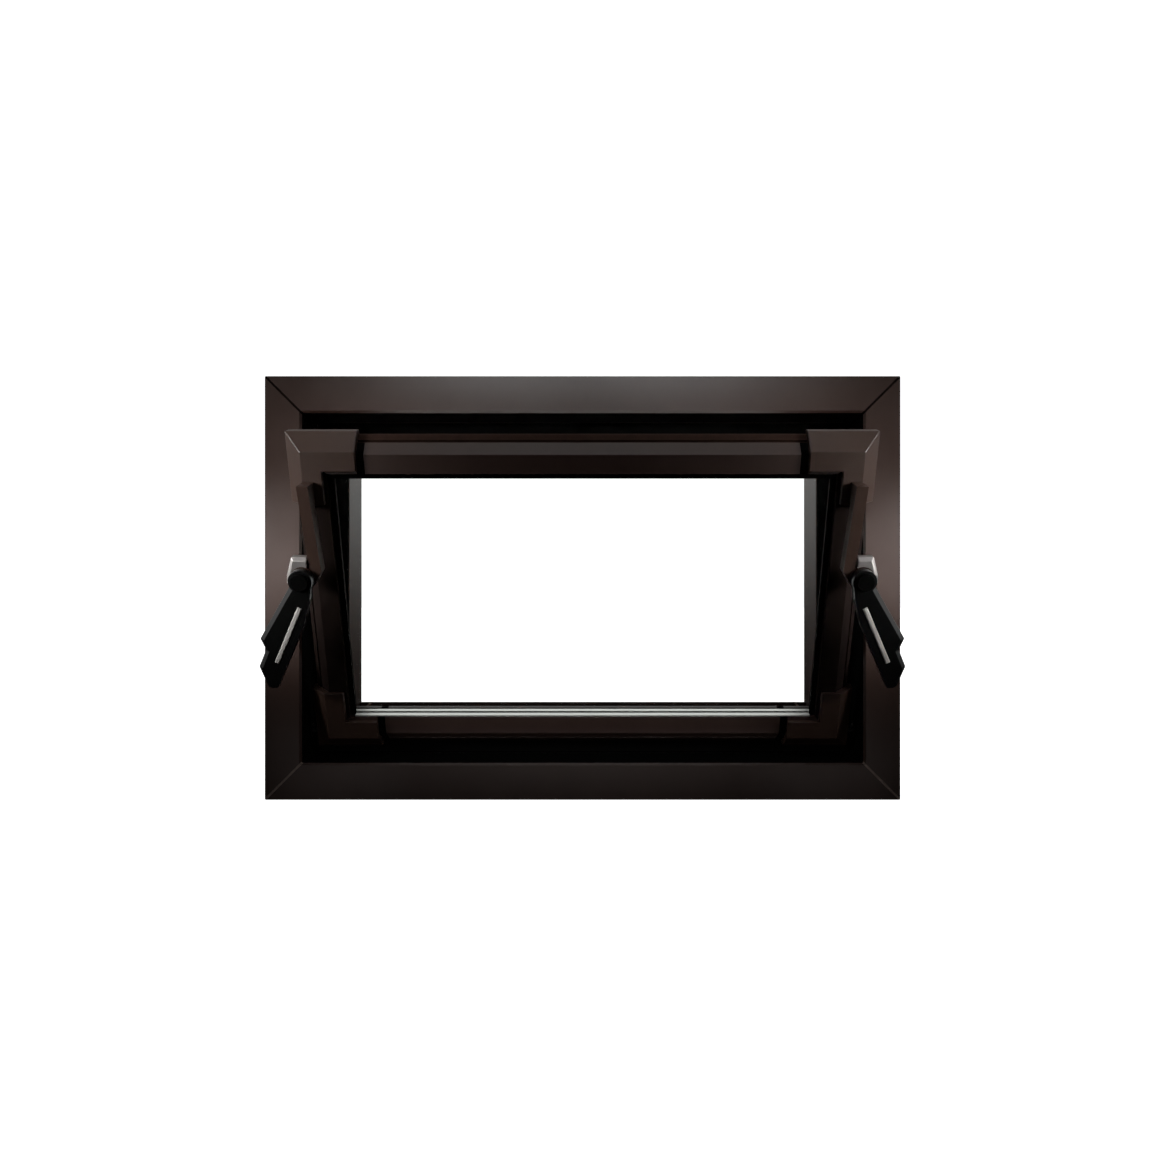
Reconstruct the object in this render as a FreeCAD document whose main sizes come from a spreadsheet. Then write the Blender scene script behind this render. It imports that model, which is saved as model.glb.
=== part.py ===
import FreeCAD, Part
import Sketcher
import os

# Hopper window: a mitred plastic frame, a bottom-hung sash standing open towards the room,
# and two turning levers on stay arms. Millimetres, +Z up, room side towards -Y.
# The origin is the middle of the sill's underside, which sits on the wall.

os.makedirs("parts", exist_ok=True)
doc = FreeCAD.newDocument("hopper_window")
sheet = doc.addObject("Spreadsheet::Sheet", "Sizes")
Vector = FreeCAD.Vector
Rotation = FreeCAD.Rotation
Placement = FreeCAD.Placement


class Size:
    """A number that also knows the sheet expression it came from."""

    def __init__(self, value, text):
        self.value = float(value)
        self.text = text

    @staticmethod
    def of(other):
        return other if isinstance(other, Size) else Size(other, repr(float(other)))

    def __add__(self, other):
        other = Size.of(other)
        return Size(self.value + other.value, f"({self.text} + {other.text})")

    def __sub__(self, other):
        other = Size.of(other)
        return Size(self.value - other.value, f"({self.text} - {other.text})")

    def __mul__(self, other):
        other = Size.of(other)
        return Size(self.value * other.value, f"({self.text} * {other.text})")

    def __truediv__(self, other):
        other = Size.of(other)
        return Size(self.value / other.value, f"({self.text} / {other.text})")

    def __neg__(self):
        return Size(-self.value, f"(-1 * {self.text})")


sheet_rows = [0]


def size(alias, value):
    """Writes one size, or a sum of other sizes, into the sheet and returns it for use in sketches."""
    sheet_rows[0] += 1
    cell = f"B{sheet_rows[0]}"
    sheet.set(f"A{sheet_rows[0]}", alias)
    if isinstance(value, Size):
        sheet.set(cell, "=" + value.text.replace("Sizes.", ""))
        value = value.value
    else:
        sheet.set(cell, str(value))
    sheet.setAlias(cell, alias)
    return Size(value, f"Sizes.{alias}")


# Frame
frame_width = size("frame_width", 600)
frame_height = size("frame_height", 400)
frame_depth = size("frame_depth", 80)
face_width = size("face_width", 35)
stop_start = size("stop_start", 50)
stop_reach = size("stop_reach", 66.7)
stop_reach_outside = size("stop_reach_outside", 71.2)
bar_ledge_rise = size("bar_ledge_rise", 6.6)
bar_ledge_fall = size("bar_ledge_fall", 3)
bar_lip_height = size("bar_lip_height", 11)
bar_lip_thick = size("bar_lip_thick", 5)
edge_break = size("edge_break", 2.5)
seam_width = size("seam_width", 0.5)
seam_depth = size("seam_depth", 0.7)
stop_gasket_margin = size("stop_gasket_margin", 0.7)
stop_gasket_proud = size("stop_gasket_proud", 3)
cut_allowance = size("cut_allowance", 1)

# Sash, measured from the corner pieces' front plane and outer edge
side_gap = size("side_gap", 6)
bottom_gap = size("bottom_gap", 11.25)
top_gap = size("top_gap", 10.75)
sash_width = size("sash_width", frame_width - (face_width + side_gap) * 2)
sash_height = size("sash_height", frame_height - face_width * 2 - bottom_gap - top_gap)
sash_thick = size("sash_thick", 25)
rail_inset = size("rail_inset", 4)
rail_drop = size("rail_drop", 5)
rail_bevel = size("rail_bevel", 15)
bevel_line_start = size("bevel_line_start", 4)
bevel_line_width = size("bevel_line_width", 1.8)
bevel_line_depth = size("bevel_line_depth", 1.2)
rail_face_end = size("rail_face_end", 36)
rail_reach = size("rail_reach", 38)
groove_start = size("groove_start", 30)
groove_front = size("groove_front", 10)
groove_back = size("groove_back", 21.5)
corner_bevel = size("corner_bevel", 15.6)
corner_limb = size("corner_limb", 33)
corner_length = size("corner_length", 63)
corner_thick = size("corner_thick", 24)
joint_gap = size("joint_gap", 6.5)
joint_gap_depth = size("joint_gap_depth", 3.5)
tilt_angle = size("tilt_angle", 19)

# Glass unit
glass_inset = size("glass_inset", 31)
pane_thick = size("pane_thick", 3)
gasket_thick = size("gasket_thick", 1.5)
gasket_reach = size("gasket_reach", 41)
spacer_reach = size("spacer_reach", 38)
bead_thick = size("bead_thick", 1.4)
bead_setback = size("bead_setback", 1)
edge_clearance = size("edge_clearance", 1)
room_clearance = size("room_clearance", 2)

# Hinge
axis_depth = size("axis_depth", 33.65)
axis_rise = size("axis_rise", 14)
axis_height = size("axis_height", face_width + bottom_gap + axis_rise)
axis_back = size("axis_back", 20)
hinge_pin_radius = size("hinge_pin_radius", 4)
bush_radius = size("bush_radius", 7)
bush_length = size("bush_length", 12)
running_gap = size("running_gap", 0.05)

# Stay arms and levers, measured from the sash's side and top edges
arm_back = size("arm_back", 6)
arm_front = size("arm_front", 18)
arm_top_inset = size("arm_top_inset", 15.6)
arm_low_inset = size("arm_low_inset", 20.2)
arm_width = size("arm_width", 9.9)
arm_top_drop = size("arm_top_drop", 42)
arm_foot_drop = size("arm_foot_drop", 60)
arm_low_drop = size("arm_low_drop", 118)
knee_drop = size("knee_drop", 132)
knee_inset = size("knee_inset", 22)
pin_inset = size("pin_inset", 13.3)
pin_drop = size("pin_drop", 124.4)
lever_pin_radius = size("lever_pin_radius", 4)
boss_radius = size("boss_radius", 11)
boss_front = size("boss_front", 19.5)
catch_back = size("catch_back", 10)
catch_edge = size("catch_edge", 3)
lever_back = size("lever_back", 20)
lever_front = size("lever_front", 28)
lever_hub_radius = size("lever_hub_radius", 10.5)
lever_edge = size("lever_edge", 4)
strip_depth = size("strip_depth", 1)
strip_proud = size("strip_proud", 0.8)
pin_head_radius = size("pin_head_radius", 8)
pin_head_back = size("pin_head_back", 28.5)
pin_head_front = size("pin_head_front", 31)
pin_head_edge = size("pin_head_edge", 0.8)
doc.recompute()


def new_body(name):
    body = doc.addObject("PartDesign::Body", name)
    body.Label = name
    return body


def origin_plane(body, role):
    for feature in body.Origin.OriginFeatures:
        if feature.Role == role:
            return feature
    raise ValueError(role)


def add_sketch(body, name, role, loops=(), circles=(), offset=None):
    """A sketch of closed polygons and circles, every corner tied to sheet sizes."""
    sketch = body.newObject("Sketcher::SketchObject", name)
    sketch.AttachmentSupport = [(origin_plane(body, role), "")]
    sketch.MapMode = "FlatFace"
    if offset is not None:
        offset = Size.of(offset)
        sketch.AttachmentOffset = Placement(Vector(0, 0, offset.value), Rotation())
        sketch.setExpression("AttachmentOffset.Base.z", offset.text)

    def pin_down(geometry, point, across, up):
        for kind, axis, amount in (("DistanceX", -2, across), ("DistanceY", -1, up)):
            if abs(amount.value) < 1e-9:
                sketch.addConstraint(Sketcher.Constraint("PointOnObject", geometry, point, axis))
            else:
                index = sketch.addConstraint(
                    Sketcher.Constraint(kind, -1, 1, geometry, point, amount.value))
                sketch.setExpression(f"Constraints[{index}]", amount.text)

    for loop in loops:
        corners = [(Size.of(across), Size.of(up)) for across, up in loop]
        first = sketch.GeometryCount
        for number, (across, up) in enumerate(corners):
            end = corners[(number + 1) % len(corners)]
            sketch.addGeometry(Part.LineSegment(
                Vector(across.value, up.value, 0), Vector(end[0].value, end[1].value, 0)))
        for number in range(len(corners)):
            following = first + (number + 1) % len(corners)
            sketch.addConstraint(Sketcher.Constraint("Coincident", first + number, 2, following, 1))
        for number, (across, up) in enumerate(corners):
            pin_down(first + number, 1, across, up)
    for across, up, radius in circles:
        across, up, radius = Size.of(across), Size.of(up), Size.of(radius)
        ring = sketch.addGeometry(Part.Circle(
            Vector(across.value, up.value, 0), Vector(0, 0, 1), radius.value))
        pin_down(ring, 3, across, up)
        index = sketch.addConstraint(Sketcher.Constraint("Radius", ring, radius.value))
        sketch.setExpression(f"Constraints[{index}]", radius.text)
    return sketch


def add_pad(body, sketch, name, length, both_ways=False):
    length = Size.of(length)
    pad = body.newObject("PartDesign::Pad", name)
    pad.Profile = sketch
    pad.Length = length.value
    pad.setExpression("Length", length.text)
    pad.Midplane = both_ways
    sketch.Visibility = False
    return pad


def add_pocket(body, sketch, name, length=None, both_ways=False, reverse=False):
    pocket = body.newObject("PartDesign::Pocket", name)
    pocket.Profile = sketch
    if length is None:
        pocket.Type = "ThroughAll"
    else:
        length = Size.of(length)
        pocket.Length = length.value
        pocket.setExpression("Length", length.text)
    pocket.Midplane = both_ways
    pocket.Reversed = reverse
    sketch.Visibility = False
    return pocket


def plate(body, name, loops=(), circles=(), back=0, front=0):
    """A flat piece in the XZ plane, from one distance in front of it to another."""
    sketch = add_sketch(body, name + "_outline", "XZ_Plane", loops, circles, back)
    return add_pad(body, sketch, name, Size.of(front) - back)


def bevel_front(body, base, name, amount, wanted):
    """Chamfers the front edges of a plate whose middle points pass a test in X and Z."""
    doc.recompute()
    front = min(vertex.Point.y for vertex in base.Shape.Vertexes)
    chosen = []
    for number, line in enumerate(base.Shape.Edges, 1):
        ends_in_front = all(abs(vertex.Point.y - front) < 1e-6 for vertex in line.Vertexes)
        if ends_in_front and wanted(line.CenterOfMass.x, line.CenterOfMass.z):
            chosen.append(f"Edge{number}")
    bevel = body.newObject("PartDesign::Chamfer", name)
    bevel.Base = (base, chosen)
    bevel.Size = amount.value
    bevel.setExpression("Size", amount.text)
    base.Visibility = False
    return bevel


def box_loop(half_width, low, high):
    return [(-half_width, low), (half_width, low), (half_width, high), (-half_width, high)]


def mitred_member(name, profile, length, reach, seam):
    """A bar along X whose section is drawn in depth and reach, cut at 45 degrees at both ends."""
    body = new_body(name)
    add_pad(body, add_sketch(body, name + "_section", "YZ_Plane", [profile]), name + "_bar", length, True)
    half = length / 2
    past = reach + cut_allowance
    outside = half + cut_allowance
    ends = []
    seams = []
    for side in (-1, 1):
        ends.append([(outside * side, -cut_allowance), (outside * side, past), ((half - past) * side, past)])
        seams.append([(outside * side, -cut_allowance), ((half - past) * side, past),
                      ((half - past - seam_width) * side, past),
                      ((outside - seam_width) * side, -cut_allowance)])
    cut = add_sketch(body, name + "_mitre", "XZ_Plane", ends)
    add_pocket(body, cut, name + "_mitres", None, True)
    if seam is not None:
        line = add_sketch(body, name + "_seam", "XZ_Plane", seams, (), -seam)
        add_pocket(body, line, name + "_seams", seam_depth)
    return body


frame_spot = Vector(0, -frame_depth.value / 2, 0)
tilt = Rotation(Vector(1, 0, 0), tilt_angle.value)
axis_point = Vector(0, axis_depth.value - frame_depth.value / 2, axis_height.value)
sash_spot = Placement(axis_point - tilt.multVec(Vector(0, axis_back.value, axis_rise.value)), tilt)
round_y = Vector(0, 1, 0)
nodes = {}


# Frame: four mitred bars with a rear stop for the sash to close towards, and a weather bar along the sill
frame_profile = [
    (0.0, 0.0), (frame_depth, 0.0), (frame_depth, stop_reach_outside), (stop_start, stop_reach),
    (stop_start, face_width), (edge_break, face_width), (0.0, face_width - edge_break)]
half_width = frame_width.value / 2
frame_bars = [
    ("frame_sill", frame_width, 0, Vector(0, 0, 0)),
    ("frame_head", frame_width, 180, Vector(0, 0, frame_height.value)),
    ("frame_jamb_left", frame_height, 90, Vector(-half_width, 0, frame_height.value / 2)),
    ("frame_jamb_right", frame_height, -90, Vector(half_width, 0, frame_height.value / 2)),
]
for name, length, turn, spot in frame_bars:
    body = mitred_member(name, frame_profile, length, stop_reach_outside, Size.of(0.0))
    if "jamb" in name:
        hinge_along = (frame_height / 2 - axis_height) * (1 if turn > 0 else -1)
        socket = add_sketch(body, name + "_socket", "XY_Plane", (),
                            [(hinge_along, axis_depth, bush_radius)], face_width - bush_length)
        add_pocket(body, socket, name + "_bush_hole", bush_length, False, True)
    body.Placement = Placement(frame_spot + spot, Rotation(round_y, turn))
    nodes[name] = body

bar = new_body("weather_bar")
lip_start = frame_depth - bar_lip_thick
lip_top = stop_reach_outside + bar_lip_height
bar_section = [
    (stop_start, stop_reach), (frame_depth, stop_reach_outside), (frame_depth, lip_top), (lip_start, lip_top),
    (lip_start, lip_top - bar_lip_height + bar_ledge_fall), (stop_start, stop_reach + bar_ledge_rise)]
bar_half = frame_width / 2 - stop_reach
bar_outline = add_sketch(bar, "weather_bar_section", "YZ_Plane", [bar_section])
add_pad(bar, bar_outline, "weather_bar_length", bar_half * 2, True)
slopes = []
for side in (-1, 1):
    slopes.append([(bar_half * side, stop_start), ((bar_half + cut_allowance) * side, stop_start),
                   ((bar_half + cut_allowance) * side, frame_depth),
                   ((frame_width / 2 - stop_reach_outside) * side, frame_depth)])
add_pocket(bar, add_sketch(bar, "weather_bar_slope", "XY_Plane", slopes), "weather_bar_ends", None, True)
bar.Placement = Placement(frame_spot, Rotation())
nodes["weather_bar"] = bar

ring = new_body("stop_gasket")
outer_low = face_width + stop_gasket_margin
inner_low = stop_reach - stop_gasket_margin
outer_half = frame_width / 2 - outer_low
inner_half = frame_width / 2 - inner_low
plate(ring, "stop_gasket_ring",
      [box_loop(outer_half, outer_low, frame_height - outer_low),
       box_loop(inner_half, inner_low, frame_height - inner_low)],
      (), -stop_start, -stop_start + stop_gasket_proud)
ring.Placement = Placement(frame_spot, Rotation())
nodes["stop_gasket"] = ring

for side, word in ((-1, "left"), (1, "right")):
    name = "hinge_bush_" + word
    body = new_body(name)
    start = frame_width / 2 - face_width
    disc = add_sketch(body, name + "_ring", "YZ_Plane", (),
                      [(0.0, 0.0, bush_radius), (0.0, 0.0, hinge_pin_radius + running_gap)])
    add_pad(body, disc, name + "_sleeve", bush_length)
    body.Placement = Placement(axis_point + Vector(side * start.value, 0, 0),
                               Rotation(round_y, 0 if side > 0 else 180))
    nodes[name] = body

# Sash: four mitred bars that hold the glass in a groove
line_start = rail_inset + bevel_line_start
line_end = line_start + bevel_line_width
bevel_foot = rail_drop + rail_bevel
sash_profile = [
    (sash_thick, rail_inset), (bevel_foot, rail_inset), (bevel_foot - bevel_line_start, line_start),
    (bevel_foot - bevel_line_start + bevel_line_depth, line_end),
    (bevel_foot - bevel_line_start - bevel_line_width, line_end), (rail_drop, rail_inset + rail_bevel),
    (rail_drop, rail_face_end), (groove_front, rail_face_end), (groove_front, groove_start),
    (groove_back, groove_start), (groove_back, rail_reach), (sash_thick, rail_reach)]
sash_half = sash_width.value / 2
sash_bars = [
    ("sash_rail_bottom", sash_width, 0, Vector(0, 0, 0)),
    ("sash_rail_top", sash_width, 180, Vector(0, 0, sash_height.value)),
    ("sash_stile_left", sash_height, 90, Vector(-sash_half, 0, sash_height.value / 2)),
    ("sash_stile_right", sash_height, -90, Vector(sash_half, 0, sash_height.value / 2)),
]
for name, length, turn, spot in sash_bars:
    body = mitred_member(name, sash_profile, length, rail_reach, None)
    if "rail" in name:
        near = sash_width / 2 - corner_length
        gaps = []
        for side in (-1, 1):
            gaps.append([(near * side, -cut_allowance), ((near - joint_gap) * side, -cut_allowance),
                         ((near - joint_gap) * side, rail_reach + cut_allowance),
                         (near * side, rail_reach + cut_allowance)])
        slot = add_sketch(body, name + "_joint", "XZ_Plane", gaps, (), -rail_drop)
        add_pocket(body, slot, name + "_joint_gaps", joint_gap_depth)
    body.Placement = sash_spot.multiply(Placement(spot, Rotation(round_y, turn)))
    nodes[name] = body

# Glass unit: two panes, the spacer between them, the inner glazing gasket and a bead along its bottom
pane_back = groove_back - pane_thick
pane_front = groove_front + gasket_thick


def sash_ring(name, outer, inner, back, front, inner_low=None):
    body = new_body(name)
    half = sash_width / 2
    loops = [box_loop(half - outer, outer, sash_height - outer)]
    if inner is not None:
        loops.append(box_loop(half - inner, inner_low or inner, sash_height - inner))
    plate(body, name + "_sheet", loops, (), -back, -front)
    body.Placement = sash_spot
    nodes[name] = body


sash_ring("pane_outer", glass_inset, None, groove_back, pane_back)
sash_ring("spacer_bar", glass_inset + edge_clearance, spacer_reach, pane_back, pane_front + pane_thick)
sash_ring("pane_inner", glass_inset, None, pane_front + pane_thick, pane_front)
sash_ring("glazing_gasket", glass_inset + edge_clearance, gasket_reach, pane_front, groove_front, rail_face_end)

bead = new_body("glazing_bead")
bead_loop = box_loop(sash_width / 2 - gasket_reach, rail_face_end, rail_face_end + bead_thick)
plate(bead, "glazing_bead_strip", [bead_loop], (), -pane_front, -rail_drop - bead_setback)
bead.Placement = sash_spot
nodes["glazing_bead"] = bead


# Corner pieces: bevelled caps over the ends of the bars
def corner_piece(name, across, up, rail, stile):
    body = new_body(name + "_block")
    half = (sash_width / 2) * across
    edge = sash_height if up > 0 else Size.of(0.0)
    far = half - corner_length * across
    limb_x = half - corner_limb * across
    far_z = edge - corner_length * up
    limb_z = edge - corner_limb * up
    outline = [(half, edge), (half, far_z), (limb_x, far_z), (limb_x, limb_z), (far, limb_z), (far, edge)]
    solid = plate(body, name + "_limbs", [outline], (), -corner_thick, 0.0)
    doc.recompute()
    chosen = []
    for number, line in enumerate(solid.Shape.Edges, 1):
        middle = line.CenterOfMass
        if abs(middle.y) > 1e-6:
            continue
        if abs(middle.x - half.value) < 1e-6 or abs(middle.z - edge.value) < 1e-6:
            chosen.append(f"Edge{number}")
    bevel = body.newObject("PartDesign::Chamfer", name + "_bevel")
    bevel.Base = (solid, chosen)
    bevel.Size = corner_bevel.value
    bevel.setExpression("Size", corner_bevel.text)
    near = groove_start - room_clearance
    past = corner_limb + cut_allowance
    far_past = far - cut_allowance * across
    far_past_z = far_z - cut_allowance * up
    room = [(half - near * across, edge - near * up), (far_past, edge - near * up),
            (far_past, edge - past * up), (half - past * across, edge - past * up),
            (half - past * across, far_past_z), (half - near * across, far_past_z)]
    behind = add_sketch(body, name + "_room", "XZ_Plane", [room], (), -corner_thick)
    add_pocket(body, behind, name + "_glass_room", corner_thick - rail_drop, False, True)
    body.Placement = sash_spot
    piece = body
    for step, bar in (("rail", rail), ("stile", stile)):
        cut = doc.addObject("Part::Cut", name + "_less_" + step)
        cut.Base = piece
        cut.Tool = nodes[bar]
        piece = cut
    nodes[name] = piece


for across, word in ((-1, "left"), (1, "right")):
    corner_piece("corner_top_" + word, across, 1, "sash_rail_top", "sash_stile_" + word)
    corner_piece("corner_bottom_" + word, across, -1, "sash_rail_bottom", "sash_stile_" + word)

# Hinge pins on the sash's lower corners, turning in the bushes
for side, word in ((-1, "left"), (1, "right")):
    name = "hinge_pin_" + word
    body = new_body(name)
    disc = add_sketch(body, name + "_round", "YZ_Plane", (), [(0.0, 0.0, hinge_pin_radius)])
    add_pad(body, disc, name + "_shank", side_gap + bush_length - edge_clearance)
    body.Placement = Placement(axis_point + Vector(side * sash_half, 0, 0),
                               Rotation(round_y, 0 if side > 0 else 180))
    nodes[name] = body

# Stay arms, their catches, lever pins and levers, drawn around the pin for the right and mirrored for the left
lever_outline = [(10.7, -5.3), (41.8, -54.1), (38.0, -65.0), (45.9, -81.3),
                 (40.1, -101.1), (30.2, -101.1), (0.3, -39.8), (-7.3, -16.4), (-9.7, 0.0)]
blade_lean = 0.4
strip_outline = [(4.2, -22.8), (30.3, -75.4), (26.3, -77.4), (0.2, -24.8)]
catch_outline = [(14.3, -4.0), (14.3, 3.0), (9.1, 19.4), (-5.0, 19.4), (-5.0, -4.0)]
for side, word in ((-1, "left"), (1, "right")):
    half = sash_width / 2
    pin_x = (half - pin_inset) * side
    pin_z = sash_height - pin_drop
    arm_top = sash_height - arm_top_drop
    foot_low = sash_height - arm_foot_drop
    arm_low = sash_height - arm_low_drop
    knee = sash_height - knee_drop

    def around_pin(outline):
        return [(pin_x + Size.of(across * side), pin_z + up) for across, up in outline]

    def on_outer_edge(across, up):
        drop = pin_z.value - up
        return drop > 2 * lever_hub_radius.value and abs(across) - abs(pin_x.value) > drop * blade_lean

    arm = new_body("stay_arm_" + word)
    outer_top = (half - arm_top_inset) * side
    inner_top = (half - arm_top_inset - arm_width) * side
    outer_low = (half - arm_low_inset) * side
    inner_low = (half - arm_low_inset - arm_width) * side
    foot = [(outer_top, arm_top), (inner_top, arm_top), (inner_top, foot_low), (outer_top, foot_low)]
    bar = [(outer_top, arm_top), (inner_top, arm_top), (inner_low, arm_low),
           ((half - knee_inset) * side, knee), (outer_low, pin_z)]
    plate(arm, f"arm_{word}_boss", (), [(pin_x, pin_z, boss_radius)], arm_back, boss_front)
    plate(arm, f"arm_{word}_bar", [bar], (), arm_back, arm_front)
    plate(arm, f"arm_{word}_foot", [foot], (), 0.0, arm_back)
    hole = add_sketch(arm, f"arm_{word}_eye", "XZ_Plane", (), [(pin_x, pin_z, lever_pin_radius)])
    add_pocket(arm, hole, f"arm_{word}_bore", None, True)
    arm.Placement = sash_spot
    nodes["stay_arm_" + word] = arm

    catch = new_body("catch_" + word)
    block = plate(catch, f"catch_{word}_block", [around_pin(catch_outline)], (), catch_back, boss_front)
    bevel_front(catch, block, f"catch_{word}_edge", catch_edge,
                lambda across, up: up > pin_z.value + catch_edge.value and abs(across) > abs(pin_x.value) - 1)
    cut = add_sketch(catch, f"catch_{word}_eye", "XZ_Plane", (), [(pin_x, pin_z, boss_radius)])
    add_pocket(catch, cut, f"catch_{word}_bore", None, True)
    catch.Placement = sash_spot
    nodes["catch_" + word] = catch

    pin = new_body("lever_pin_" + word)
    plate(pin, f"pin_{word}_shank", (), [(pin_x, pin_z, lever_pin_radius)], arm_back, pin_head_back)
    head = plate(pin, f"pin_{word}_head", (), [(pin_x, pin_z, pin_head_radius)], pin_head_back, pin_head_front)
    bevel_front(pin, head, f"pin_{word}_head_edge", pin_head_edge, lambda across, up: True)
    pin.Placement = sash_spot
    nodes["lever_pin_" + word] = pin

    lever = new_body("lever_" + word)
    strip = around_pin(strip_outline)
    blade = plate(lever, f"lever_{word}_blade", [around_pin(lever_outline)], (), lever_back, lever_front)
    bevel_front(lever, blade, f"lever_{word}_outer_edge", lever_edge, on_outer_edge)
    plate(lever, f"lever_{word}_hub", (), [(pin_x, pin_z, lever_hub_radius)], lever_back, lever_front)
    seat = add_sketch(lever, f"lever_{word}_seat", "XZ_Plane", [strip], (), lever_front)
    add_pocket(lever, seat, f"lever_{word}_strip_seat", strip_depth)
    eye = [(pin_x, pin_z, lever_pin_radius + running_gap)]
    hole = add_sketch(lever, f"lever_{word}_eye", "XZ_Plane", (), eye)
    add_pocket(lever, hole, f"lever_{word}_bore", None, True)
    lever.Placement = sash_spot
    nodes["lever_" + word] = lever

    inlay = new_body("lever_strip_" + word)
    raised = plate(inlay, f"strip_{word}_bar", [strip], (), lever_front - strip_depth, lever_front + strip_proud)
    bevel_front(inlay, raised, f"strip_{word}_edge", strip_proud, lambda across, up: True)
    inlay.Placement = sash_spot
    nodes["lever_strip_" + word] = inlay

# Every feature must be sound before the pieces are written
doc.recompute()
for item in doc.Objects:
    if "Invalid" in item.State or "Error" in item.State:
        raise RuntimeError(f"{item.Name}: {item.State}")
for name, item in nodes.items():
    shape = item.Shape
    if shape.isNull() or not shape.isValid() or len(shape.Solids) != 1:
        raise RuntimeError(f"{name}: {len(shape.Solids)} solids, valid {shape.isValid()}")
    item.Label = name
    shape.exportStep(f"parts/{name}.step")
    print(f"{name}: {shape.Volume / 1000:.1f} cm3")
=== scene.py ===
import math

import bpy
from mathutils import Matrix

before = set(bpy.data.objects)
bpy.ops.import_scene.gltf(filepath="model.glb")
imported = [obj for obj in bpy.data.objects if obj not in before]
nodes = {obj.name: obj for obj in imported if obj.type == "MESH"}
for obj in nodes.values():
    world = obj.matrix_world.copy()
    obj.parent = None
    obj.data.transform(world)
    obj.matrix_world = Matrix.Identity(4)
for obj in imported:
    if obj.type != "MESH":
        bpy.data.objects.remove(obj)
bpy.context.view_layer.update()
bpy.ops.object.select_all(action="DESELECT")

# The frame that is built into the wall.
# Four bars of extruded rigid PVC, dyed dark brown right through, cut at 45 degrees and welded.
# A weather bar of the same plastic lies along the sill.


def linear(code):
    """An sRGB hex colour as linear values with full alpha."""
    parts = [int(code[i:i + 2], 16) / 255 for i in (1, 3, 5)]
    return [p / 12.92 if p <= 0.04045 else ((p + 0.055) / 1.055) ** 2.4 for p in parts] + [1.0]


def add(tree, kind, settings=None, links=None):
    """Adds a node, sets its values and sockets, and links its sockets to other nodes' outputs."""
    node = tree.nodes.new(kind)
    for name, value in (settings or {}).items():
        if isinstance(name, int) or name in node.inputs:
            node.inputs[name].default_value = value
        else:
            setattr(node, name, value)
    for name, output in (links or {}).items():
        tree.links.new(output, node.inputs[name])
    return node


def finish_named(name):
    """A new empty material tree with its output node."""
    material = bpy.data.materials.new(name)
    material.use_nodes = True
    material.node_tree.nodes.clear()
    return material, material.node_tree, add(material.node_tree, "ShaderNodeOutputMaterial")


def coat(piece, material):
    """Gives a piece one material all over."""
    piece.data.materials.clear()
    piece.data.materials.append(material)


def soften(piece, width):
    """Rounds the sharp edges that a mould or tumbling leaves slightly blunt."""
    weld = piece.modifiers.new("one_skin", "WELD")
    weld.merge_threshold = 0.00001
    edge = piece.modifiers.new("blunt_edges", "BEVEL")
    edge.width = width
    edge.segments = 2
    edge.limit_method = "ANGLE"
    edge.angle_limit = math.radians(25)
    edge.harden_normals = True


def dyed_plastic(name, low, high, roughness, specular=0.5):
    """Plastic dyed right through, whose tone and gloss drift over about 40 mm.

    The skin's real grain is finer than a pixel, so it is drawn as ripples of about 2 mm.
    """
    material, tree, output = finish_named(name)
    place = add(tree, "ShaderNodeTexCoord")
    drift = add(tree, "ShaderNodeTexNoise", {"Scale": 25.0, "Detail": 4.0, "Roughness": 0.6},
                {"Vector": place.outputs["Object"]})
    grain = add(tree, "ShaderNodeTexNoise", {"Scale": 500.0, "Detail": 2.0},
                {"Vector": place.outputs["Object"]})
    tone = add(tree, "ShaderNodeMix", {"data_type": "RGBA", 6: linear(low), 7: linear(high)},
               {"Factor": drift.outputs["Fac"]})
    gloss = add(tree, "ShaderNodeMapRange", {"From Min": 0.3, "From Max": 0.7,
                                             "To Min": roughness - 0.02, "To Max": roughness + 0.02},
                {"Value": drift.outputs["Fac"]})
    ripple = add(tree, "ShaderNodeBump", {"Strength": 0.06, "Distance": 0.0004},
                 {"Height": grain.outputs["Fac"]})
    shader = add(tree, "ShaderNodeBsdfPrincipled", {"IOR": 1.53, "Specular IOR Level": specular},
                 {"Base Color": tone.outputs[2], "Roughness": gloss.outputs["Result"],
                  "Normal": ripple.outputs["Normal"]})
    tree.links.new(shader.outputs["BSDF"], output.inputs["Surface"])
    return material


def lay_over(material, mask, low, high):
    """Lays a matt second skin, clouded over about 5 mm, on a material wherever the mask is 1."""
    tree = material.node_tree
    output = next(node for node in tree.nodes if node.type == "OUTPUT_MATERIAL")
    under = output.inputs["Surface"].links[0].from_socket
    place = add(tree, "ShaderNodeTexCoord")
    cloud = add(tree, "ShaderNodeTexNoise", {"Scale": 200.0, "Detail": 3.0},
                {"Vector": place.outputs["Object"]})
    tone = add(tree, "ShaderNodeMix", {"data_type": "RGBA", 6: linear(low), 7: linear(high)},
               {"Factor": cloud.outputs["Fac"]})
    skin = add(tree, "ShaderNodeBsdfPrincipled",
               {"Roughness": 0.9, "IOR": 1.5, "Specular IOR Level": 0.05}, {"Base Color": tone.outputs[2]})
    both = add(tree, "ShaderNodeMixShader", {}, {"Fac": mask, 1: under, 2: skin.outputs["BSDF"]})
    tree.links.new(both.outputs["Shader"], output.inputs["Surface"])


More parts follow.
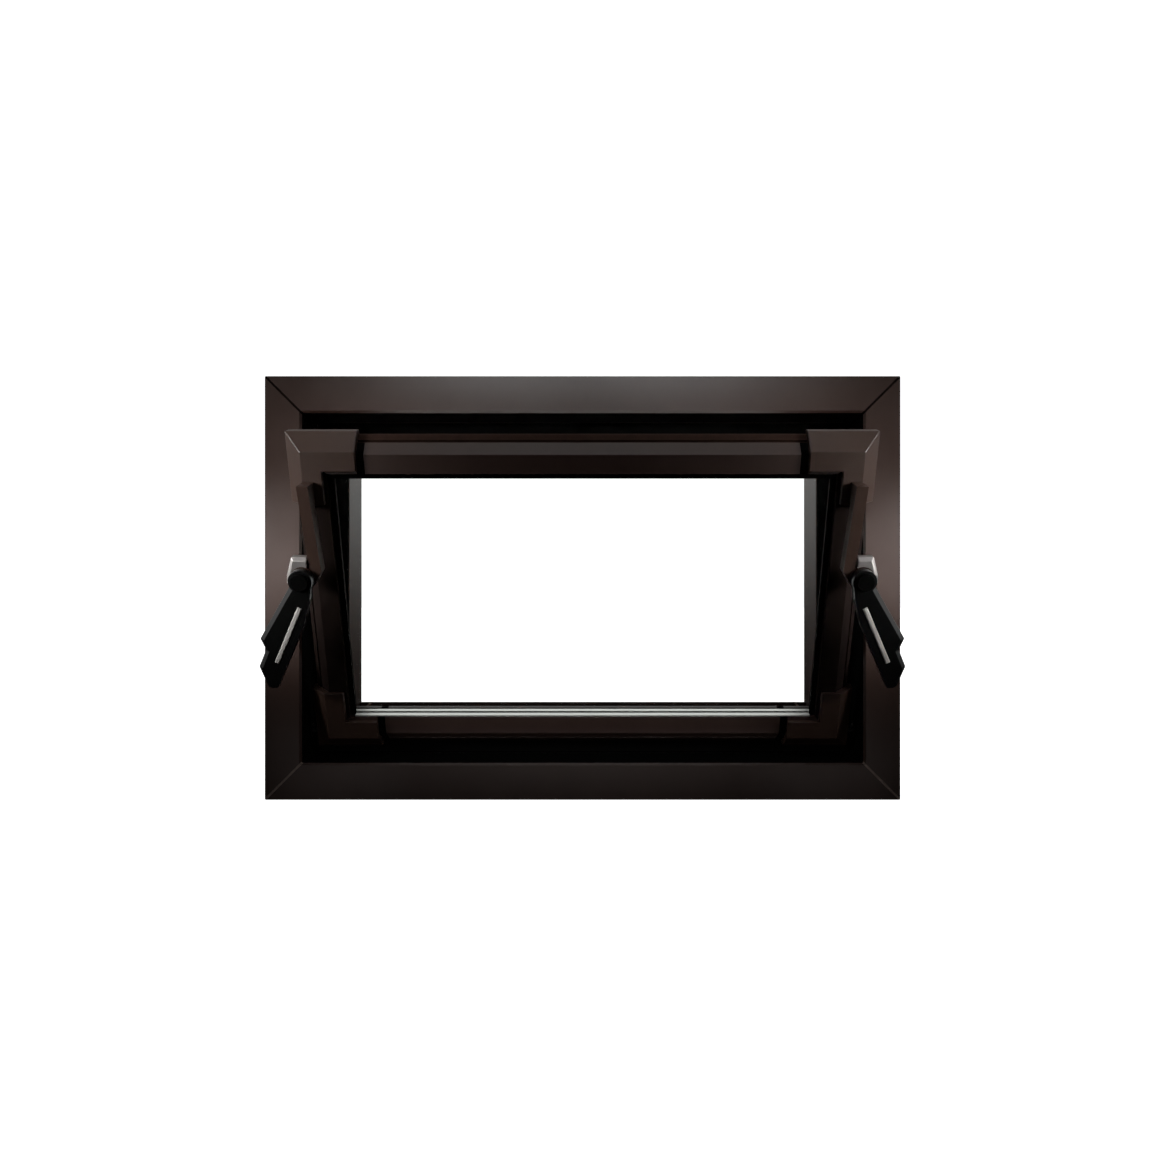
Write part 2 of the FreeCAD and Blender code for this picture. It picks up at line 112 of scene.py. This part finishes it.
# A polished die leaves the bars satin, so they take soft, broad highlights.
frame_pvc = dyed_plastic("extruded_brown_pvc", "#35251f", "#402e27", 0.30)
frame_middle = 0.2
tree = frame_pvc.node_tree
place = add(tree, "ShaderNodeTexCoord")
split = add(tree, "ShaderNodeSeparateXYZ", {}, {"Vector": place.outputs["Object"]})
across = add(tree, "ShaderNodeMath", {"operation": "ABSOLUTE"}, {0: split.outputs["X"]})
above = add(tree, "ShaderNodeMath", {"operation": "SUBTRACT", 1: frame_middle}, {0: split.outputs["Z"]})
rise = add(tree, "ShaderNodeMath", {"operation": "ABSOLUTE"}, {0: above.outputs["Value"]})
# The mitre welds run where height less width is that of the corners.
# They are painted dark at the head, a painted shade in the seam's groove, and painted pale at the sill, a
# painted highlight where the groove catches light from above.
weld_line, weld_half_width = -0.1, 0.0014
beside = add(tree, "ShaderNodeMath", {"operation": "SUBTRACT"},
             {0: rise.outputs["Value"], 1: across.outputs["Value"]})
seam = add(tree, "ShaderNodeMath", {"operation": "COMPARE", 1: weld_line, 2: weld_half_width},
           {0: beside.outputs["Value"]})
upper = add(tree, "ShaderNodeMath", {"operation": "GREATER_THAN", 1: 0.0}, {0: above.outputs["Value"]})
shaded_head_seam = add(tree, "ShaderNodeMath", {"operation": "MULTIPLY"},
              {0: seam.outputs["Value"], 1: upper.outputs["Value"]})
lit_sill_seam = add(tree, "ShaderNodeMath", {"operation": "SUBTRACT"},
              {0: seam.outputs["Value"], 1: shaded_head_seam.outputs["Value"]})
# Painted shade on the head's seams, then a painted highlight on the sill's seams.
lay_over(frame_pvc, shaded_head_seam.outputs["Value"], "#120c0a", "#1a1210")
lay_over(frame_pvc, lit_sill_seam.outputs["Value"], "#7e7069", "#94857d")
# The rebate that the sash closes into is painted near-black as far back as the stop, a painted shade for the
# dark of the deep rebate.
rebate_half_width, rebate_half_height, rebate_back = 0.2655, 0.1655, 0.0095
within = add(tree, "ShaderNodeMath", {"operation": "LESS_THAN", 1: rebate_half_width},
             {0: across.outputs["Value"]})
between = add(tree, "ShaderNodeMath", {"operation": "LESS_THAN", 1: rebate_half_height},
              {0: rise.outputs["Value"]})
ahead = add(tree, "ShaderNodeMath", {"operation": "LESS_THAN", 1: rebate_back}, {0: split.outputs["Y"]})
inside = add(tree, "ShaderNodeMath", {"operation": "MULTIPLY"},
             {0: within.outputs["Value"], 1: between.outputs["Value"]})
painted_rebate_shade = add(tree, "ShaderNodeMath", {"operation": "MULTIPLY"},
             {0: inside.outputs["Value"], 1: ahead.outputs["Value"]})
# Painted shade: the rebate is coloured near-black.
lay_over(frame_pvc, painted_rebate_shade.outputs["Value"], "#030303", "#070606")
for name in ("frame_sill", "frame_head", "frame_jamb_left", "frame_jamb_right", "weather_bar"):
    coat(nodes[name], frame_pvc)

# The stop seal and the glazing gasket.
# Strips of black EPDM rubber, pressed into the bars.
# Extruded rubber swallows light: it is matt, with a soft bloom in patches of about 8 mm.
material, tree, output = finish_named("extruded_black_epdm_rubber")
place = add(tree, "ShaderNodeTexCoord")
bloom = add(tree, "ShaderNodeTexNoise", {"Scale": 120.0, "Detail": 3.0},
            {"Vector": place.outputs["Object"]})
tone = add(tree, "ShaderNodeMix", {"data_type": "RGBA", 6: linear("#030303"), 7: linear("#080807")},
           {"Factor": bloom.outputs["Fac"]})
shader = add(tree, "ShaderNodeBsdfPrincipled",
             {"Roughness": 0.85, "IOR": 1.5, "Specular IOR Level": 0.04}, {"Base Color": tone.outputs[2]})
tree.links.new(shader.outputs["BSDF"], output.inputs["Surface"])
for name in ("stop_gasket", "glazing_gasket"):
    coat(nodes[name], material)

# The hinge bushes and pins at the sash's lower corners.
# Turned steel pins, blackened, in dark nylon bushes.
# The plain mould leaves the nylon a dull satin, clouded over about 3 mm.
material, tree, output = finish_named("moulded_dark_nylon")
place = add(tree, "ShaderNodeTexCoord")
cloud = add(tree, "ShaderNodeTexNoise", {"Scale": 300.0}, {"Vector": place.outputs["Object"]})
tone = add(tree, "ShaderNodeMix", {"data_type": "RGBA", 6: linear("#262524"), 7: linear("#32302f")},
           {"Factor": cloud.outputs["Fac"]})
shader = add(tree, "ShaderNodeBsdfPrincipled", {"Roughness": 0.5, "IOR": 1.53},
             {"Base Color": tone.outputs[2]})
tree.links.new(shader.outputs["BSDF"], output.inputs["Surface"])
for name in ("hinge_bush_left", "hinge_bush_right"):
    coat(nodes[name], material)
# Turning leaves fine rings that break up the shine, drawn coarser than real at about 0.8 mm.
material, tree, output = finish_named("turned_blackened_steel")
place = add(tree, "ShaderNodeTexCoord")
lathe = add(tree, "ShaderNodeTexWave", {"Scale": 400.0, "bands_direction": "X", "Distortion": 1.0},
            {"Vector": place.outputs["Object"]})
gloss = add(tree, "ShaderNodeMapRange", {"To Min": 0.4, "To Max": 0.55}, {"Value": lathe.outputs["Fac"]})
shader = add(tree, "ShaderNodeBsdfPrincipled", {"Base Color": linear("#1d1c1b"), "Metallic": 1.0},
             {"Roughness": gloss.outputs["Result"]})
tree.links.new(shader.outputs["BSDF"], output.inputs["Surface"])
for name in ("hinge_pin_left", "hinge_pin_right"):
    coat(nodes[name], material)

# The sash bars.
# The same brown PVC in a smaller bevelled section, a little duller than the frame.
# The rail beside each corner piece is painted black, a painted shade for the corner piece's shaded end face
# and its shadow on the rail, and the upper edge is matt.
sash_pvc = dyed_plastic("extruded_brown_sash_pvc", "#2e1f1a", "#382721", 0.46)
joint_middle, joint_half_width, upper_edge = 0.1928, 0.0033, 0.3268
tree = sash_pvc.node_tree
place = add(tree, "ShaderNodeTexCoord")
split = add(tree, "ShaderNodeSeparateXYZ", {}, {"Vector": place.outputs["Object"]})
across = add(tree, "ShaderNodeMath", {"operation": "ABSOLUTE"}, {0: split.outputs["X"]})
painted_joint_shade = add(tree, "ShaderNodeMath", {"operation": "COMPARE", 1: joint_middle, 2: joint_half_width},
            {0: across.outputs["Value"]})
# Painted shade: a near-black band on the rail beside each corner piece.
lay_over(sash_pvc, painted_joint_shade.outputs["Value"], "#030303", "#060505")
edge = add(tree, "ShaderNodeMath", {"operation": "GREATER_THAN", 1: upper_edge}, {0: split.outputs["Z"]})
lay_over(sash_pvc, edge.outputs["Value"], "#2a1d18", "#34251f")
for name in ("sash_rail_bottom", "sash_rail_top"):
    coat(nodes[name], sash_pvc)
# The stiles are painted darker than the rails, a painted shade for the shade the sash casts on them, with a
# matt face that hardly shines.
shaded_stile_pvc = dyed_plastic("extruded_brown_pvc_painted_shade", "#140d0b", "#1b1310", 0.75, 0.05)
for name in ("sash_stile_left", "sash_stile_right"):
    coat(nodes[name], shaded_stile_pvc)

# The corner pieces and stay arms.
# Injection-moulded brown plastic with blunt edges that catch the light.
# The corners are a little glossier than the sash bars, and the arms a duller satin.
moulded = dyed_plastic("moulded_brown_plastic", "#33241d", "#3d2c24", 0.40)
satin = dyed_plastic("moulded_satin_brown_plastic", "#35261f", "#3f2e27", 0.6, 0.12)
for name in nodes:
    if name.startswith(("corner_", "stay_arm_")):
        coat(nodes[name], moulded if name.startswith("corner_") else satin)
        soften(nodes[name], 0.0008)

# The catches on the stay arms.
# Zinc die-castings, tumbled until their edges are round.
# Tumbling leaves a soft grey shine, clouded over about 4.5 mm.
material, tree, output = finish_named("tumbled_zinc")
place = add(tree, "ShaderNodeTexCoord")
cloud = add(tree, "ShaderNodeTexNoise", {"Scale": 220.0, "Detail": 3.0},
            {"Vector": place.outputs["Object"]})
gloss = add(tree, "ShaderNodeMapRange", {"To Min": 0.42, "To Max": 0.58}, {"Value": cloud.outputs["Fac"]})
shader = add(tree, "ShaderNodeBsdfPrincipled", {"Base Color": linear("#b2adaa"), "Metallic": 1.0},
             {"Roughness": gloss.outputs["Result"]})
tree.links.new(shader.outputs["BSDF"], output.inputs["Surface"])
for name in ("catch_left", "catch_right"):
    coat(nodes[name], material)
    soften(nodes[name], 0.0006)

# The glass unit.
# Two sheets of clear float glass with an aluminium spacer between their edges.
# A thin aluminium bead closes the bottom edge on the room side.
# Float glass is flat and clear, with only a trace of haze that drifts over about 110 mm.
# Its index is far below real glass: the photo's panes show no reflections of the white studio.
material, tree, output = finish_named("clear_float_glass")
place = add(tree, "ShaderNodeTexCoord")
film = add(tree, "ShaderNodeTexNoise", {"Scale": 9.0, "Detail": 3.0}, {"Vector": place.outputs["Object"]})
haze = add(tree, "ShaderNodeMapRange", {"To Min": 0.0, "To Max": 0.012}, {"Value": film.outputs["Fac"]})
shader = add(tree, "ShaderNodeBsdfPrincipled",
             {"Base Color": linear("#fbfdfc"), "Transmission Weight": 1.0, "IOR": 1.03},
             {"Roughness": haze.outputs["Result"]})
tree.links.new(shader.outputs["BSDF"], output.inputs["Surface"])
for name in ("pane_inner", "pane_outer"):
    coat(nodes[name], material)
# Drawing leaves lines along the bar that streak its shine, drawn coarser than real at about 1.1 mm.
# The spacer's upright sides are painted near-black, a painted shade for the dark deep in the glazing, so only
# its bottom edge shines.
shaded_sides_start = 0.2205
material, tree, output = finish_named("drawn_mill_aluminium")
place = add(tree, "ShaderNodeTexCoord")
along = add(tree, "ShaderNodeMapping", {"Scale": (8.0, 900.0, 900.0)}, {"Vector": place.outputs["Object"]})
drawn = add(tree, "ShaderNodeTexNoise", {"Scale": 1.0, "Detail": 2.0}, {"Vector": along.outputs["Vector"]})
gloss = add(tree, "ShaderNodeMapRange", {"To Min": 0.35, "To Max": 0.5}, {"Value": drawn.outputs["Fac"]})
split = add(tree, "ShaderNodeSeparateXYZ", {}, {"Vector": place.outputs["Object"]})
across = add(tree, "ShaderNodeMath", {"operation": "ABSOLUTE"}, {0: split.outputs["X"]})
painted_shade_sides = add(tree, "ShaderNodeMath", {"operation": "GREATER_THAN", 1: shaded_sides_start},
             {0: across.outputs["Value"]})
# Painted shade: the upright sides get near-black in place of aluminium.
tone = add(tree, "ShaderNodeMix", {"data_type": "RGBA", 6: linear("#c8c8c5"), 7: linear("#030303")},
           {"Factor": painted_shade_sides.outputs["Value"]})
shader = add(tree, "ShaderNodeBsdfPrincipled", {"Metallic": 1.0},
             {"Base Color": tone.outputs[2], "Roughness": gloss.outputs["Result"]})
tree.links.new(shader.outputs["BSDF"], output.inputs["Surface"])
for name in ("spacer_bar", "glazing_bead"):
    coat(nodes[name], material)

# The levers, their pins and the strips let into them.
# Acetal mouldings, the levers and pins black; the strips are painted pale grey, a painted highlight along
# each lever's rib.
# A polished mould gives the levers a slightly glossy skin with flow marks of about 11 mm.
material, tree, output = finish_named("moulded_black_acetal")
place = add(tree, "ShaderNodeTexCoord")
flow = add(tree, "ShaderNodeTexNoise", {"Scale": 90.0, "Detail": 3.0}, {"Vector": place.outputs["Object"]})
gloss = add(tree, "ShaderNodeMapRange", {"To Min": 0.26, "To Max": 0.38}, {"Value": flow.outputs["Fac"]})
tone = add(tree, "ShaderNodeMix", {"data_type": "RGBA", 6: linear("#060606"), 7: linear("#0b0b0b")},
           {"Factor": flow.outputs["Fac"]})
shader = add(tree, "ShaderNodeBsdfPrincipled", {"IOR": 1.48},
             {"Base Color": tone.outputs[2], "Roughness": gloss.outputs["Result"]})
tree.links.new(shader.outputs["BSDF"], output.inputs["Surface"])
for name in ("lever_left", "lever_right"):
    coat(nodes[name], material)
    soften(nodes[name], 0.0005)
# A spark-eroded mould leaves the pins' heads matt and almost without shine.
matt_black = dyed_plastic("spark_eroded_black_acetal", "#020202", "#050505", 0.75, 0.04)
for name in ("lever_pin_left", "lever_pin_right"):
    coat(nodes[name], matt_black)
    soften(nodes[name], 0.0005)
# The strips have the same smooth skin, with flow marks of about 7 mm.
material, tree, output = finish_named("pale_grey_acetal_painted_highlight")
place = add(tree, "ShaderNodeTexCoord")
flow = add(tree, "ShaderNodeTexNoise", {"Scale": 140.0, "Detail": 3.0}, {"Vector": place.outputs["Object"]})
# The pale grey is a painted highlight for the light caught along a rib of the black lever.
tone = add(tree, "ShaderNodeMix", {"data_type": "RGBA", 6: linear("#b3afaa"), 7: linear("#ccc8c2")},
           {"Factor": flow.outputs["Fac"]})
shader = add(tree, "ShaderNodeBsdfPrincipled", {"IOR": 1.48, "Roughness": 0.4},
             {"Base Color": tone.outputs[2]})
tree.links.new(shader.outputs["BSDF"], output.inputs["Surface"])
for name in ("lever_strip_left", "lever_strip_right"):
    coat(nodes[name], material)
    soften(nodes[name], 0.0003)

# The studio.
# A floor and a back wall of white paper, lit until they are plain white, and a dim room in front.
# Narrow soft boxes each light one part of the window, so the lower half and the gaps stay in shade.
bpy.ops.object.select_all(action="DESELECT")
bpy.ops.mesh.primitive_plane_add(size=60, location=(0, 0, -0.0005))
floor = bpy.context.object
floor.name = "pale_floor"
bpy.ops.mesh.primitive_plane_add(size=60, location=(0, 7, 0), rotation=(math.pi / 2, 0, 0))
wall = bpy.context.object
wall.name = "pale_wall"
material, tree, output = finish_named("white_paper")
paper = add(tree, "ShaderNodeBsdfPrincipled",
            {"Base Color": linear("#f4f4f4"), "Roughness": 0.9,
             "Emission Color": linear("#ffffff"), "Emission Strength": 1.2})
tree.links.new(paper.outputs["BSDF"], output.inputs["Surface"])
for sheet in (floor, wall):
    coat(sheet, material)
    sheet.visible_diffuse = False
    sheet.visible_glossy = False

world = bpy.data.worlds.new("studio_air")
world.use_nodes = True
tree = world.node_tree
tree.nodes.clear()
ways = add(tree, "ShaderNodeTexCoord")
split = add(tree, "ShaderNodeSeparateXYZ", {}, {"Vector": ways.outputs["Generated"]})
behind = add(tree, "ShaderNodeMapRange", {"From Min": -0.2, "From Max": 0.2, "To Min": 0.008, "To Max": 1.0,
                                          "interpolation_type": "SMOOTHSTEP"}, {"Value": split.outputs["Y"]})
over = add(tree, "ShaderNodeMapRange", {"From Min": -0.06, "From Max": 0.14,
                                        "interpolation_type": "SMOOTHSTEP"}, {"Value": split.outputs["Z"]})
glow = add(tree, "ShaderNodeMath", {"operation": "MULTIPLY"},
           {0: behind.outputs["Result"], 1: over.outputs["Result"]})
air = add(tree, "ShaderNodeBackground", {"Color": (1, 1, 1, 1)}, {"Strength": glow.outputs["Value"]})
add(tree, "ShaderNodeOutputWorld", {}, {"Surface": air.outputs["Background"]})
bpy.context.scene.world = world
# Each box: place, target, width, height, spread in degrees and watts. One off the middle has a mirrored twin.
for name, spot, target, width, height, spread, watts in (
        ("top_box", (0, -0.45, 1.1), (0, -0.08, 0.38), 0.8, 0.1, 60, 0.115),
        ("head_box", (0, -0.9, 0.75), (0, -0.05, 0.41), 0.62, 0.08, 22, 0.064),
        ("head_end_box", (0.18, -0.9, 0.75), (0.16, -0.05, 0.42), 0.2, 0.06, 18, 0.014),
        ("side_box", (0.95, -0.5, 0.42), (0.28, -0.08, 0.26), 0.2, 0.2, 20, 0.2),
        ("corner_box", (0.75, -0.5, 0.38), (0.262, -0.12, 0.335), 0.1, 0.1, 7, 0.007),
        ("arm_box", (0.6, -0.75, 0.2), (0.25, -0.12, 0.29), 0.1, 0.1, 10, 0.004),
        ("lever_box", (0.75, -0.6, 0.36), (0.292, -0.04, 0.21), 0.1, 0.1, 11, 0.046),
        ("rail_box", (0, -0.8, 0.12), (0, -0.03, 0.082), 0.34, 0.02, 6, 0.008),
        ("rail_under_box", (0, -0.2, 0.004), (0, -0.025, 0.0555), 0.37, 0.01, 6, 0.0014),
        ("sill_box", (0, -0.6, 0.012), (0, -0.035, 0.03), 0.75, 0.02, 24, 0.009),
        ("sill_end_box", (0.24, -0.6, 0.012), (0.25, -0.04, 0.02), 0.1, 0.02, 12, 0.001)):
    for side in (-1, 1) if spot[0] else (1,):
        place = (spot[0] * side, spot[1], spot[2])
        toward = (target[0] * side - place[0], target[1] - place[1], target[2] - place[2])
        bpy.ops.object.light_add(type="AREA", location=place)
        lamp = bpy.context.object
        lamp.name = name
        lamp.data.shape = "RECTANGLE"
        lamp.data.size = width
        lamp.data.size_y = height
        lamp.data.spread = math.radians(spread)
        lamp.data.energy = watts
        level = math.hypot(toward[0], toward[1])
        lamp.rotation_euler = (math.atan2(level, -toward[2]), 0, math.atan2(-toward[0], toward[1]))

# The camera stands level with the window's middle, 835 mm from its face.
bpy.ops.object.camera_add(location=(0.0023, -0.875, 0.2028), rotation=(math.pi / 2, 0, 0))
camera = bpy.context.object
camera.data.sensor_width = 36
camera.data.lens = 27.21
camera.data.clip_start = 0.01
bpy.context.scene.camera = camera
bpy.context.scene.view_settings.view_transform = "Standard"
